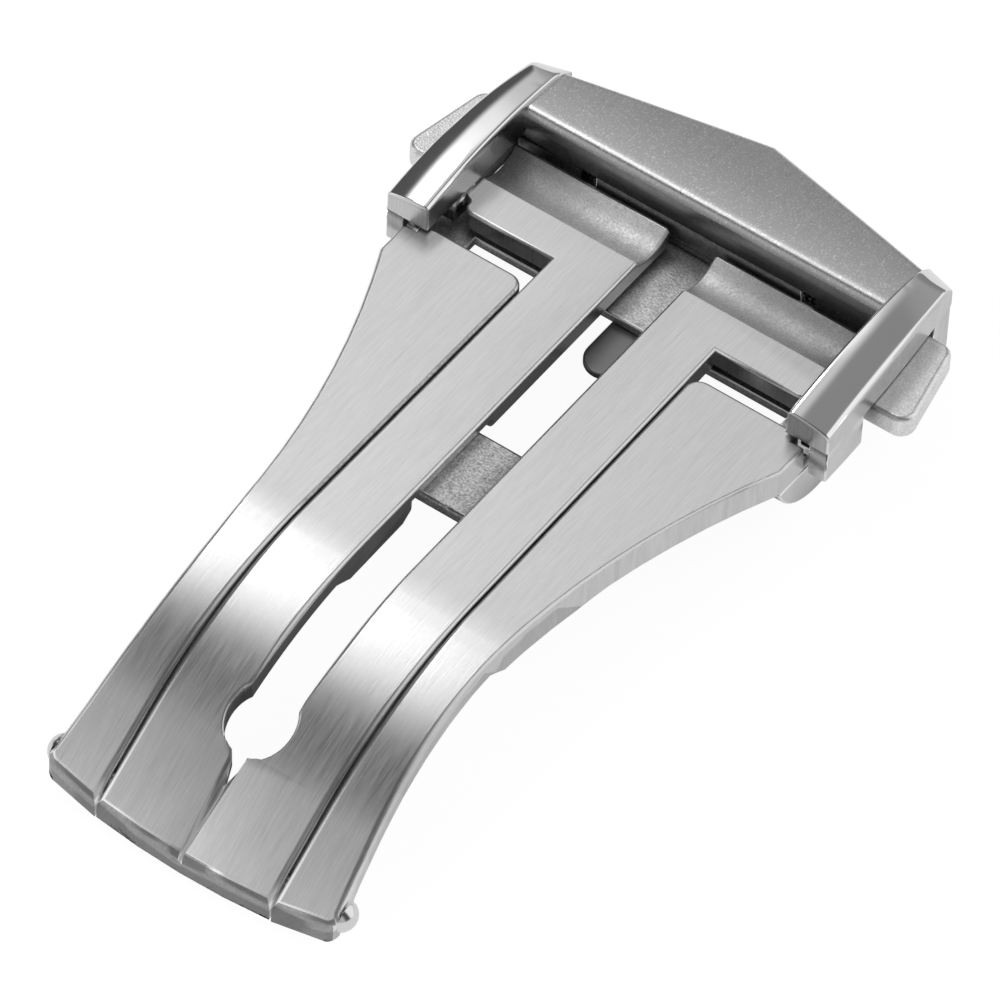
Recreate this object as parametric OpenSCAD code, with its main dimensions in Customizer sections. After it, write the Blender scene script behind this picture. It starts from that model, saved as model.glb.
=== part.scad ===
/* [Strap] */
// Width of the strap that lies between the rails
strap_w = 18; // [16:0.5:22]
// Gap on each side of the strap
strap_side_gap = 0.1; // [0.05:0.05:0.4]
// Radius of the blind holes for the strap bar's tips
strap_hole_r = 0.5; // [0.35:0.05:0.6]
// Depth of the strap bar's holes
strap_hole_depth = 0.55; // [0.3:0.05:0.7]

/* [Blade side profile] */
// Height of the blades' top face, measured from the top of the rails' front ends
blade_top_z = -1.15; // [-1.6:0.05:-1.1]
// Length of the straight part, from the rails' front ends to the bend
straight_len = 15.2; // [13:0.1:20]
// Radius of the bend, on the top face
bend_r = 18; // [14:0.5:24]
// Angle that the bend turns through
bend_angle = 34.7; // [25:0.5:40]
// Length of the straight tail behind the bend
tail_len = 4.45; // [3:0.1:7]
// Radius of the bow in the hinge end's edge, seen from above
end_bow_r = 52; // [30:1:90]

/* [Inner blade] */
// Thickness of the arms
arm_t = 1.05; // [0.9:0.05:1.3]
// Thickness of the arms where they pass over the cross plate
arm_relief_t = 0.6; // [0.4:0.05:0.7]
// Thickness of the arms from the bend to the hinge end
arm_tail_t = 0.85; // [0.7:0.05:1]
// Thickness of the arms at the pad between the cross plate and the bend
arm_pad_t = 1.4; // [1.1:0.05:1.6]
// Half width over both arms, at the feet
arm_half_w = 4.2; // [3.6:0.05:5]
// How much wider each side of the pair is at the hinge end
arm_widen = 0.16; // [0:0.02:0.4]
// Width of the slot between the arms
slot_w = 2.3; // [1.6:0.1:3]
// Diameter of the keyhole at the end of the slot
keyhole_d = 3; // [2.6:0.1:3.6]
// Distance from the rails' front ends to the keyhole's centre, seen from above
keyhole_y = 23.7; // [22:0.1:25.5]
// Width of the vee groove where it leaves the keyhole
vee_w = 0.8; // [0.4:0.05:1.2]
// Depth of the vee groove
vee_depth = 0.3; // [0.15:0.01:0.32]
// Distance from the rails' front ends back to the feet
foot_front = 2.0; // [1.6:0.05:2.3]
// Length of the feet, back to the lip behind the trough
foot_len = 4.4; // [4:0.1:4.6]
// Radius of the feet's front corners
foot_corner_r = 0.5; // [0.3:0.05:0.6]
// Radius of the trough across the feet
trough_r = 1.75; // [1.4:0.05:2.4]
// Depth of the trough
trough_depth = 0.45; // [0.2:0.05:0.6]
// Width of the flat lip behind the trough
lip_w = 0.12; // [0.05:0.01:0.3]

/* [Outer blade] */
// Thickness of the wings, from the shoulders to the bend
wing_t = 1.5; // [1.35:0.05:1.6]
// Thickness of the wings from the bend to the hinge end
wing_tail_t = 0.9; // [0.7:0.05:1]
// Half width over the wings at their waist
waist_half_w = 6.5; // [6:0.05:7.2]
// Distance from the rails' front ends to the waist
waist_y = 18.8; // [17:0.1:21]
// Radius of the concave flare from the waist to the shoulders
flare_r = 41; // [38:1:60]
// Radius of the concave flare from the waist to the hinge end
hinge_flare_r = 60; // [50:1:90]
// Radius of the wings' corners at the hinge end
corner_r = 0.6; // [0.3:0.05:0.9]
// Distance from the rails' front ends back to the wings' ends
wing_end = 0.4; // [0:0.05:0.8]
// Gap between the arms and the wings
blade_gap = 0.08; // [0.05:0.01:0.15]
// Distance from the rails' front ends to the cross plate's nearer edge
cross_front = 7.0; // [6:0.1:9]
// Length of the cross plate, along the blades
cross_len = 4.2; // [3:0.1:5]
// Thickness of the cross plate
cross_t = 0.63; // [0.4:0.01:0.9]
// Gap between the arms and what lies under them
under_gap = 0.08; // [0.05:0.01:0.15]

/* [Fold hinge] */
// Radius of the fold pin
pin_r = 0.4; // [0.3:0.02:0.5]
// Radial clearance of the fold pin in the arms
pin_clearance = 0.03; // [0.02:0.01:0.06]
// Radius of the knuckles round the fold pin
knuckle_r = 0.76; // [0.72:0.02:0.9]
// Distance from the pin's axis to the hinge end's edge, seen from above
pin_to_end = 1.5; // [1.3:0.05:1.9]
// Radius of the fold pin's domed heads
pin_head_r = 0.68; // [0.55:0.01:0.72]
// How far the domed heads stand out
pin_head_h = 0.42; // [0.25:0.01:0.6]

/* [Buckle frame] */
// Width of each rail at its front end
rail_w = 2.1; // [1.8:0.05:2.6]
// Length of the rails
rail_len = 10.4; // [9.8:0.1:11.2]
// How much the rails' outer sides draw in towards the back
rail_taper = 0.65; // [0.3:0.05:0.9]
// Thickness of the legs under the rails' outer sides
leg_t = 0.9; // [0.8:0.05:1.1]
// Height of the frame's underside, measured from the top of the rails' front ends
frame_under_z = -1.0; // [-1.05:0.05:-0.8]
// Height of the front legs' lower ends
leg_bottom_z = -2.75; // [-3.2:0.05:-2.5]
// Length of the front legs, back to the button openings
leg_len = 2.75; // [2.7:0.05:3.1]
// Radius of the arched top, seen from the side
arch_r = 27; // [22:1:34]
// Distance from the rails' front ends to the crest of the arch
crest_y = 5.6; // [4.5:0.1:6.2]
// Height of the crest above the rails' front ends
crest_z = 0.8; // [0.6:0.02:1]
// Radius of the crown across each rail's top
crown_r = 4.5; // [4:0.5:12]
// Angle by which the rails' tops fall outwards
rail_tilt = 5; // [0:1:12]
// Radius of the rounding over the rails' outer back corners
back_round_r = 2.7; // [2.2:0.1:4]
// Radius of the head bar's arched top, seen from the side
head_arch_r = 22.8; // [19:0.2:28]
// How far the head bar's crest lies under the rails' crest
head_drop = 0.16; // [0.05:0.01:0.3]
// Distance from the rails' front ends back to the head bar
head_front = 6.8; // [6.7:0.05:7.2]
// Distance from the rails' front ends back to the peak of the head bar
head_peak = 12.35; // [11.4:0.05:13.5]
// How far behind the head bar's corners its peak lies
peak_rise = 2.45; // [1.5:0.05:3]
// Width of the bevel along the head bar's back edge
head_bevel = 0.25; // [0.1:0.05:0.4]
// Height of the rear lugs' lower ends
lug_bottom_z = -3.95; // [-4.4:0.05:-3.7]
// Length of the rear lugs, along the rails
lug_len = 1.95; // [1.8:0.05:2.2]
// Thickness of the skirts between the troughs and the buttons
skirt_t = 0.3; // [0.2:0.05:0.4]
// Radius of the pins that hold the feet in the frame
frame_pin_r = 0.24; // [0.16:0.01:0.26]
// Radius of the locating pins in the front legs
locating_pin_r = 0.3; // [0.2:0.02:0.35]

/* [Push buttons] */
// How far each button travels
button_travel = 0.65; // [0.4:0.05:0.8]
// How far the buttons stand out beyond the rails' front ends
button_reach = 1.6; // [1.4:0.05:2.1]
// Thickness of the buttons
button_t = 1.2; // [0.9:0.05:1.25]
// Thickness of the latches behind the buttons
latch_t = 0.9; // [0.7:0.02:0.92]
// Length of the buttons, along the rails
button_len = 4.75; // [4.3:0.05:4.8]
// How far the buttons' outer faces draw in towards the back
button_slant = 0.65; // [0:0.05:0.9]
// Radius of the buttons' outer corners
button_corner_r = 0.7; // [0.3:0.05:1]
// Sliding gap above and below the latches
slide_gap = 0.08; // [0.05:0.01:0.12]
// Length of the latches, along the rails
latch_len = 1.2; // [0.9:0.05:1.25]
// Width of the latch hooks
hook_w = 0.8; // [0.6:0.05:1]
// Length of the latch hooks, along the rails
hook_len = 0.55; // [0.4:0.05:0.6]
// Gap between a hook and the catch plate's window
hook_gap = 0.06; // [0.05:0.01:0.1]
// Half width of the block that carries the spring rods
block_half_w = 3.3; // [2.9:0.05:3.6]
// Length of each button spring
spring_len = 2.7; // [2.2:0.1:3]
// Outer radius of the button springs
spring_r = 0.4; // [0.3:0.01:0.42]
// Radius of the button springs' wire
wire_r = 0.07; // [0.05:0.01:0.09]
// Turns of each button spring
spring_turns = 9; // [6:1:12]
// Radius of the rods inside the button springs
rod_r = 0.22; // [0.15:0.01:0.24]
// Radius of the pins that hold the buttons on the latches
button_pin_r = 0.24; // [0.15:0.01:0.28]
// Thickness of the cover under the latches
cover_t = 0.3; // [0.2:0.01:0.34]
// Radius of the cover screws' threads
screw_r = 0.35; // [0.25:0.01:0.4]

/* [Catch plate] */
// Thickness of the catch plate
catch_t = 0.5; // [0.45:0.05:0.7]
// Height of the catch plate's top face
catch_top_z = -2.45; // [-2.7:0.05:-2.42]
// Distance from the rails' front ends back to the catch plate's front edge
catch_front = 2.0; // [1.8:0.05:2.3]
// Distance from the rails' front ends back to the catch plate's rear edge
catch_rear = 8.0; // [7.9:0.05:8.15]
// Thickness of the ears under the shoulders
ear_t = 0.85; // [0.6:0.05:1]
// Radius of the ears, seen from the side
ear_r = 3.25; // [3:0.05:3.6]
// Distance from the rails' front ends back to the ears' centre
ear_y = 1.2; // [0.9:0.05:1.5]
// Height of the ears' lower edges
ear_bottom_z = -4.75; // [-5:0.05:-4.6]
// Width of the notches that the locating pins drop into
notch_w = 1.3; // [1:0.05:1.5]
// Gap between the ears and the frame's legs
side_gap = 0.12; // [0.08:0.01:0.2]
// Width of the strap tongue
tongue_w = 2.0; // [1.8:0.1:3]
// How far the strap tongue reaches in front of the catch plate
tongue_reach = 2.7; // [2:0.1:4]
// Thickness of the strap tongue
tongue_t = 0.35; // [0.25:0.01:0.38]
// Radius of the tongue's rivets
rivet_r = 0.35; // [0.2:0.01:0.45]

/* [Standing pose] */
// Angle that brings the flat blades to the pose in which the clasp stands
stand_tilt = -5.87; // [-9:0.01:-4]
// Shift along the blades that centres the standing clasp on the origin
stand_y = 8.7585; // [6:0.0005:11]
// Height that lifts the standing clasp onto the ground plane
stand_z = 4.9005; // [3:0.0005:8]

/* [Hidden] */
$fn = 64;
far = 60;
eps = 0.01;
left = -1;
right = 1;
bend_steps = 18;

// Frame sizes that other pieces follow
rail_in = strap_w / 2 + strap_side_gap;
rail_out = rail_in + rail_w;
leg_in = rail_out - leg_t;
lug_in = rail_out - rail_taper - leg_t;
lug_front = rail_len - lug_len;

// Side profile of the blades: s runs along the top face from the rails' front ends towards the hinge end
bend_len = bend_r * bend_angle * PI / 180;
bend_end_y = -straight_len - bend_r * sin(bend_angle);
bend_end_z = blade_top_z - bend_r * (1 - cos(bend_angle));
hinge_end_y = bend_end_y - tail_len * cos(bend_angle);
total_s = straight_len + bend_len + tail_len;
pad_end_s = straight_len + 2;
relief_gap = 0.6;
pad_slope = 0.5;

// Point of the side profile at length s along the top face and a given depth under it
function profile_point(s, depth) =
    s <= straight_len ? [-s, blade_top_z - depth] :
    s <= straight_len + bend_len ? let (h = (s - straight_len) / bend_r * 180 / PI)
        [-straight_len - (bend_r - depth) * sin(h), blade_top_z - bend_r + (bend_r - depth) * cos(h)] :
    let (t = s - straight_len - bend_len)
        [bend_end_y - t * cos(bend_angle) + depth * sin(bend_angle),
         bend_end_z - t * sin(bend_angle) - depth * cos(bend_angle)];

// Lengths at which a stretch of the profile needs points
function profile_stops(s0, s1) = [
    s0,
    for (i = [0 : bend_steps])
        let (s = straight_len + bend_len * i / bend_steps) if (s > s0 && s < s1) s,
    s1
];

// Fold pin's axis: as deep under the top face as the knuckles need
pin_y = hinge_end_y + pin_to_end;
pin_s = straight_len + bend_len
    + (bend_end_y + knuckle_r * sin(bend_angle) - pin_y) / cos(bend_angle);
pin_z = profile_point(pin_s, knuckle_r)[1];
pin_bore_r = pin_r + pin_clearance;
knuckle_half_w = arm_half_w + arm_widen;

// Gaps and lengths that the latches and the feet share
rail_foot_gap = 0.04;
foot_notch_w = 0.3;
foot_notch_len = 0.85;
foot_latch_gap = 0.35;
leg_button_gap = 0.65;
tab_button_gap = 0.1;
cover_inset = 0.4;
hook_place = 1.3;
hook_reach = 0.25;
rod_depth = 0.9;
pin_depth = leg_t * 0.65;
button_pin_in = 0.8;
button_pin_out = 1;

// Buttons and latches
latch_top_z = frame_under_z - slide_gap;
latch_bottom_z = latch_top_z - latch_t;
latch_mid_z = (latch_top_z + latch_bottom_z) / 2;
button_bottom_z = latch_top_z - button_t;
foot_back = foot_front + foot_len;
latch_front = foot_back + foot_latch_gap;
latch_mid_y = latch_front + latch_len / 2;
latch_in = block_half_w + spring_len;
foot_half_w = rail_in - rail_foot_gap;
button_front = leg_len + leg_button_gap;
button_back = button_front + button_len;
button_in = rail_in + skirt_t + button_travel + slide_gap;
tab_in = rail_in + rail_foot_gap / 2;
tab_back = button_front - tab_button_gap;
neck_front = foot_front + foot_notch_len;
button_out = rail_out + button_reach;
cover_top_z = latch_bottom_z - slide_gap;
cover_bottom_z = cover_top_z - cover_t;
cover_half_w = rail_in - cover_inset;
hook_out = latch_in + button_travel + hook_place;
hook_in = hook_out - hook_w;
hook_back = latch_mid_y + hook_len / 2;
hook_front = hook_back - hook_len;
catch_bottom_z = catch_top_z - catch_t;
hook_bottom_z = catch_bottom_z - hook_reach;
screw_x = block_half_w / 2;

// Ears and wings
ear_out = leg_in - side_gap;
wing_under_z = blade_top_z - wing_t;
frame_pin_y = (foot_front + leg_len) / 2;
frame_pin_z = (frame_under_z + blade_top_z - arm_t) / 2;
locating_pin_y = locating_pin_r + 0.25;
locating_pin_z = frame_under_z - locating_pin_r - 0.15;
locating_pin_reach = 0.45;
notch_in = ear_out - locating_pin_reach - 0.15;
strap_bar_y = rail_len - lug_len / 2;
strap_bar_z = lug_bottom_z + lug_len / 2;
ear_in = ear_out - ear_t;
ear_bar_y = ear_y - 0.2;
ear_bar_z = ear_bottom_z + strap_hole_r + 0.27;
vee_start_y = -keyhole_y - keyhole_d / 2 + 0.2;
rivet_front = 1.1;
rivet_pitch = 1.8;
rivet_depth = catch_t * 0.6;
waist_to_shoulder = sqrt(flare_r * flare_r - pow(flare_r - (ear_out - waist_half_w), 2));

// Turns the model from its flat blades to the pose in which it stands
module standing() {
    translate([0, stand_y, stand_z]) rotate([stand_tilt, 0, 0]) children();
}

// Extrudes an outline drawn in Y and Z along X, centred or from one side's x to another
module across(x0, x1) {
    translate([min(x0, x1), 0, 0]) rotate([90, 0, 90]) linear_extrude(abs(x1 - x0)) children();
}

// Extrudes an outline drawn in X and Y between two heights
module upright(z0, z1) {
    translate([0, 0, min(z0, z1)]) linear_extrude(abs(z1 - z0)) children();
}

module both_sides() {
    children();
    mirror([1, 0, 0]) children();
}

// Box between two corners
module box(a, b) {
    translate([min(a[0], b[0]), min(a[1], b[1]), min(a[2], b[2])])
        cube([abs(b[0] - a[0]), abs(b[1] - a[1]), abs(b[2] - a[2])]);
}

// Round bar along X
module bar(x0, x1, y, z, r) {
    translate([min(x0, x1), y, z]) rotate([0, 90, 0]) cylinder(r = r, h = abs(x1 - x0));
}

// Side view of a blade: its underside follows a table of lengths along the top face and depths under it
module blade_side(table) {
    last = len(table) - 1;
    stops = [
        for (i = [0 : last - 1]) each
            [for (s = profile_stops(table[i][0], table[i + 1][0])) if (s < table[i + 1][0]) s],
        table[last][0]
    ];
    polygon(concat(
        [for (s = stops) profile_point(s, 0)],
        [for (i = [len(stops) - 1 : -1 : 0]) profile_point(stops[i], lookup(stops[i], table))]
    ));
}

// Hinge end's edge, seen from above: y at a distance x from the middle
function end_y(x) = hinge_end_y + x * x / (2 * end_bow_r);

// Half outline of the arms, seen from above
module arm_outline() {
    polygon([
        [-knuckle_half_w, end_y(knuckle_half_w)],
        [-knuckle_half_w / 2, end_y(knuckle_half_w / 2)],
        [0, end_y(0)],
        [knuckle_half_w / 2, end_y(knuckle_half_w / 2)],
        [knuckle_half_w, end_y(knuckle_half_w)],
        [arm_half_w, 0],
        [arm_half_w, foot_back],
        [-arm_half_w, foot_back],
        [-arm_half_w, 0]
    ]);
}

// Slot, keyhole and vee groove between the arms, seen from above
module slot_outline() {
    translate([-slot_w / 2, -keyhole_y]) square([slot_w, keyhole_y + foot_back + 1]);
    translate([0, -keyhole_y]) circle(d = keyhole_d);
    polygon([[-vee_w / 2, vee_start_y], [vee_w / 2, vee_start_y], [0, vee_start_y - 1.5 * vee_w]]);
}

// Vee groove from the keyhole to the hinge end, seen from above: it narrows to a fine line
module vee_outline() {
    line_half_w = 0.03;
    polygon([
        [-vee_w / 2, vee_start_y],
        [vee_w / 2, vee_start_y],
        [line_half_w, hinge_end_y - 1],
        [-line_half_w, hinge_end_y - 1]
    ]);
}

// Arms with their relief over the cross plate, the pad before the bend and the knuckle round the fold pin
module arms() {
    relief_s0 = cross_front - relief_gap;
    relief_s1 = cross_front + cross_len + relief_gap;
    intersection() {
        upright(-far / 2, far / 2) arm_outline();
        across(-knuckle_half_w, knuckle_half_w) union() {
            blade_side([
                [-foot_back, arm_t],
                [relief_s0 - eps, arm_t],
                [relief_s0, arm_relief_t],
                [relief_s1, arm_relief_t],
                [relief_s1 + eps, arm_t],
                [relief_s1 + pad_slope, arm_pad_t],
                [pad_end_s - 2 * pad_slope, arm_pad_t],
                [pad_end_s, arm_tail_t],
                [total_s + 2, arm_tail_t]
            ]);
            translate([pin_y, pin_z]) circle(r = knuckle_r);
        }
    }
}

// Outline of the right foot, seen from above: a notch keeps its front corner clear of the rail
module foot_outline() {
    corner_x = foot_half_w - foot_notch_w;
    polygon(concat(
        [[arm_half_w - 1, foot_front]],
        [for (a = [0 : 15 : 90])
            [corner_x - foot_corner_r * (1 - sin(a)), foot_front + foot_corner_r * (1 - cos(a))]],
        [[corner_x, neck_front - foot_notch_w / 2], [foot_half_w, neck_front]],
        [[foot_half_w, foot_back], [arm_half_w - 1, foot_back]]
    ));
}

// Foot on one side, with the tab that is pinned under the rail
module foot(side) {
    foot_bottom_z = blade_top_z - arm_t;
    upright(foot_bottom_z, blade_top_z) mirror([side == left ? 1 : 0, 0]) foot_outline();
    box([side * (foot_half_w - 0.5), neck_front, foot_bottom_z], [side * leg_in, tab_back, blade_top_z]);
    box([side * tab_in, foot_front, foot_bottom_z], [side * leg_in, tab_back, frame_under_z]);
}

module inner_blade() {
    trough_y = foot_back - lip_w - sqrt(trough_r * trough_r - pow(trough_r - trough_depth, 2));
    color("silver") standing() difference() {
        union() {
            arms();
            foot(left);
            foot(right);
        }
        upright(-far / 2, far / 2) slot_outline();
        difference() {
            upright(-far / 2, far / 2) vee_outline();
            across(-vee_w, vee_w) translate(profile_point(straight_len + bend_len, vee_depth))
                rotate(bend_angle) translate([-2 * tail_len, -arm_t]) square([3 * tail_len, arm_t]);
        }
        bar(-leg_in - 1, leg_in + 1, trough_y, blade_top_z - trough_depth + trough_r, trough_r);
        bar(-arm_half_w - 1, arm_half_w + 1, pin_y, pin_z, pin_bore_r);
        for (side = [left, right])
            bar(side * rail_in, side * (leg_in + 1), frame_pin_y, frame_pin_z, frame_pin_r);
    }
}

// Outline of one wing, seen from above: a waist, with a concave flare towards either end
function wing_x(y) = y > -waist_y
    ? min(ear_out, waist_half_w + flare_r - sqrt(flare_r * flare_r - pow(y + waist_y, 2)))
    : waist_half_w + hinge_flare_r - sqrt(hinge_flare_r * hinge_flare_r - pow(y + waist_y, 2));

pin_half_len = wing_x(pin_y - pin_head_r);

module wing_outline() {
    flare_steps = 16;
    corner_steps = 6;
    inner_round = 0.7;
    inner_hinge = knuckle_half_w + blade_gap;
    inner_head = arm_half_w + blade_gap;
    shoulder_y = min(waist_to_shoulder - waist_y, wing_end - 0.5);
    corner_x = wing_x(end_y(waist_half_w));
    corner_y = end_y(corner_x);
    polygon(concat(
        [[inner_hinge, end_y(inner_hinge)]],
        [for (i = [0 : corner_steps]) let (a = 90 * i / corner_steps)
            [inner_head + inner_round * (1 - cos(a)), wing_end - inner_round * (1 - sin(a))]],
        [[ear_out, wing_end]],
        [for (i = [flare_steps : -1 : 0])
            let (y = corner_y + corner_r + (shoulder_y - corner_y - corner_r) * i / flare_steps)
                [wing_x(y), y]],
        [for (i = [1 : corner_steps]) let (a = 90 * i / corner_steps)
            [corner_x - corner_r * (1 - cos(a)), corner_y + corner_r * (1 - sin(a))]]
    ));
}

module wing() {
    intersection() {
        upright(-far / 2, far / 2) wing_outline();
        across(0, ear_out) union() {
            blade_side([
                [-wing_end, wing_t],
                [pad_end_s - 2 * pad_slope, wing_t],
                [pad_end_s, wing_tail_t],
                [total_s + 2, wing_tail_t]
            ]);
            translate([pin_y, pin_z]) circle(r = knuckle_r);
        }
    }
}

module outer_blade() {
    cross_top_z = blade_top_z - arm_relief_t - under_gap;
    color("lightgray") standing() difference() {
        union() {
            both_sides() wing();
            box([-arm_half_w - 0.8, -cross_front, cross_top_z - cross_t],
                [arm_half_w + 0.8, -cross_front - cross_len, cross_top_z]);
        }
        bar(-ear_out, ear_out, pin_y, pin_z, pin_r);
        for (side = [left, right]) across(side * notch_in, side * (ear_out + 1)) notch_outline();
    }
}

// Side view of the notch that a locating pin drops into, open at the top
module notch_outline() {
    translate([locating_pin_y, locating_pin_z]) circle(d = notch_w);
    translate([locating_pin_y - notch_w / 2, locating_pin_z]) square([notch_w, 2]);
}

// Side view of an ear: a rounded lug that hangs under the shoulder
module ear_outline() {
    intersection() {
        translate([ear_y, ear_bottom_z + ear_r]) circle(r = ear_r);
        translate([ear_y - ear_r, ear_bottom_z - 1]) square([2 * ear_r, wing_under_z - ear_bottom_z + 1]);
    }
}

module catch_plate() {
    plate_half_w = rail_in - 0.1;
    seat_half_w = plate_half_w - 1;
    seat_front = -1.2;
    seat_back = catch_front + 1.5;
    window_front = hook_front - 0.3;
    window_out = hook_out + hook_gap;
    window_in = hook_in - button_travel - hook_gap;
    color("gray") standing() difference() {
        union() {
            box([-plate_half_w, catch_front, catch_bottom_z], [plate_half_w, catch_rear, catch_top_z]);
            for (side = [left, right]) {
                across(side * ear_in, side * ear_out) ear_outline();
                box([side * seat_half_w, seat_front, catch_bottom_z],
                    [side * ear_out, wing_end, wing_under_z]);
                box([side * seat_half_w, wing_end, catch_bottom_z],
                    [side * ear_out, seat_back, catch_top_z]);
            }
        }
        for (side = [left, right]) {
            box([side * window_in, window_front, catch_bottom_z - 1],
                [side * window_out, hook_back + hook_gap, catch_top_z + 1]);
            bar(side * (ear_in - 1), side * (ear_in + strap_hole_depth), ear_bar_y, ear_bar_z, strap_hole_r);
        }
        for (y = rivet_places())
            translate([0, y, catch_bottom_z - 1]) cylinder(r = rivet_r, h = 1 + rivet_depth);
    }
}

function rivet_places() = [catch_front + rivet_front, catch_front + rivet_front + rivet_pitch];

module strap_tongue() {
    tongue_front = catch_front - tongue_reach + tongue_w / 2;
    tongue_end = catch_front + rivet_front + rivet_pitch + rivet_front;
    color("dimgray") standing() difference() {
        upright(catch_bottom_z - tongue_t, catch_bottom_z) union() {
            translate([0, tongue_front]) circle(r = tongue_w / 2);
            translate([-tongue_w / 2, tongue_front]) square([tongue_w, tongue_end - tongue_front]);
        }
        for (y = rivet_places())
            translate([0, y, catch_bottom_z - tongue_t - 1]) cylinder(r = rivet_r, h = 2 + tongue_t);
    }
}

module tongue_rivets() {
    head_t = 0.15;
    color("silver") standing() for (y = rivet_places()) {
        translate([0, y, catch_bottom_z - tongue_t]) cylinder(r = rivet_r, h = tongue_t + rivet_depth);
        translate([0, y, catch_bottom_z - tongue_t - head_t]) cylinder(r = rivet_r * 1.5, h = head_t);
    }
}

// Turned in one piece: a plain shank with a domed head at either end
module fold_pin() {
    dome_r = (pin_head_r * pin_head_r + pin_head_h * pin_head_h) / (2 * pin_head_h);
    color("silver") standing() translate([0, pin_y, pin_z]) rotate([0, 90, 0]) rotate_extrude() {
        translate([0, -pin_half_len]) square([pin_r, 2 * pin_half_len]);
        for (side = [left, right]) intersection() {
            translate([0, side * (pin_half_len + pin_head_h - dome_r)]) circle(r = dome_r);
            translate([0, side == left ? -pin_half_len - pin_head_h : pin_half_len])
                square([pin_head_r + 1, pin_head_h]);
        }
    }
}

// Outer side of a rail, seen from above: it draws in towards the back
function rail_x(y) = rail_out - rail_taper * pow(y / rail_len, 2);

module rail_outline() {
    rail_steps = 12;
    back_round = 0.6;
    polygon(concat(
        [[rail_in, 0]],
        [for (i = [0 : rail_steps]) let (y = (rail_len - back_round) * i / rail_steps) [rail_x(y), y]],
        [for (a = [15 : 15 : 90])
            [rail_x(rail_len) - back_round * (1 - cos(a)), rail_len - back_round * (1 - sin(a))]],
        [[rail_in, rail_len]]
    ));
}

// Solid under the head bar's arched top
module head_arch() {
    translate([0, crest_y, crest_z - head_drop - head_arch_r]) rotate([0, 90, 0])
        cylinder(r = head_arch_r, h = far, center = true, $fn = 180);
}

// Height of the rails' arch at a distance y behind their front ends
function arch_z(y) = crest_z - arch_r + sqrt(arch_r * arch_r - pow(y - crest_y, 2));

module rail_top() {
    round_turn = 12;
    round_y = rail_len - 0.75 * back_round_r;
    intersection() {
        translate([(rail_in + rail_out) / 2, crest_y, crest_z]) rotate([0, rail_tilt, 0])
            translate([0, 0, -arch_r]) rotate([0, 90, 0]) rotate_extrude($fn = 180) {
                translate([arch_r - crown_r, 0]) circle(r = crown_r);
                translate([0, -crown_r]) square([arch_r - crown_r, 2 * crown_r]);
            }
        translate([rail_in, round_y, arch_z(round_y)]) rotate([0, 0, -round_turn]) union() {
            translate([0, 0, -back_round_r]) rotate([0, 90, 0])
                cylinder(r = back_round_r, h = far, center = true, $fn = 120);
            translate([-far / 2, -far, -far / 2]) cube([far, far, far]);
            translate([-far / 2, -far, -far - back_round_r]) cube([far, far + back_round_r, far]);
        }
    }
}

module rail() {
    skirt_front = tab_back + tab_button_gap / 2;
    skirt_back = foot_back + 0.2;
    skirt_bottom_z = blade_top_z - trough_depth - 0.1;
    intersection() {
        upright(frame_under_z, crest_z + 1) rail_outline();
        rail_top();
    }
    intersection() {
        upright(lug_bottom_z - 1, frame_under_z) rail_outline();
        union() {
            box([leg_in, -1, leg_bottom_z], [rail_out + 1, leg_len, frame_under_z]);
            across(lug_in, rail_out + 1) union() {
                translate([strap_bar_y, strap_bar_z]) circle(r = lug_len / 2);
                translate([lug_front, strap_bar_z]) square([lug_len, frame_under_z - strap_bar_z]);
            }
            box([rail_in, skirt_front, skirt_bottom_z], [rail_in + skirt_t, skirt_back, frame_under_z]);
        }
    }
}

module head_bar() {
    corner_y = head_peak - peak_rise;
    overlap = 0.3;
    difference() {
        intersection() {
            upright(frame_under_z, crest_z + 1) polygon([
                [-rail_in - overlap, head_front],
                [rail_in + overlap, head_front],
                [rail_in + overlap, corner_y],
                [0, head_peak],
                [-rail_in - overlap, corner_y]
            ]);
            head_arch();
        }
        for (side = [left, right]) {
            edge_angle = atan2(peak_rise, rail_in + overlap);
            translate([0, head_peak, crest_z - head_drop - pow(head_peak - crest_y, 2) / (2 * head_arch_r)])
                rotate([0, 0, -side * edge_angle]) rotate([-45, 0, 0])
                    translate([-far / 2, -head_bevel, 0]) cube([far, far, far / 4]);
        }
    }
}

module buckle_frame() {
    pocket_half_w = latch_in - button_travel - slide_gap;
    color("gainsboro") standing() difference() {
        union() {
            both_sides() rail();
            head_bar();
            box([-block_half_w, latch_front, cover_top_z],
                [block_half_w, latch_front + latch_len, frame_under_z]);
            box([-pocket_half_w, latch_front, cover_top_z],
                [pocket_half_w, latch_mid_y - spring_r - 0.03, frame_under_z]);
        }
        for (side = [left, right]) {
            bar(side * (lug_in - 1), side * (lug_in + strap_hole_depth),
                strap_bar_y, strap_bar_z, strap_hole_r);
            bar(side * (leg_in - 1), side * (leg_in + pin_depth), frame_pin_y, frame_pin_z, frame_pin_r);
            bar(side * (leg_in - 1), side * (leg_in + pin_depth),
                locating_pin_y, locating_pin_z, locating_pin_r);
            bar(side * (block_half_w - rod_depth), side * (block_half_w + 1),
                latch_mid_y, latch_mid_z, rod_r);
            translate([side * screw_x, latch_mid_y, cover_top_z - 1]) cylinder(r = screw_r, h = 1.8);
        }
    }
}

module foot_pin(side) {
    bar(side * tab_in, side * (leg_in + pin_depth), frame_pin_y, frame_pin_z, frame_pin_r);
}

module left_foot_pin() { color("silver") standing() foot_pin(left); }

module right_foot_pin() { color("silver") standing() foot_pin(right); }

module locating_pin(side) {
    bar(side * (ear_out - locating_pin_reach), side * (leg_in + pin_depth),
        locating_pin_y, locating_pin_z, locating_pin_r);
}

module left_locating_pin() { color("dimgray") standing() locating_pin(left); }

module right_locating_pin() { color("dimgray") standing() locating_pin(right); }

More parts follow.
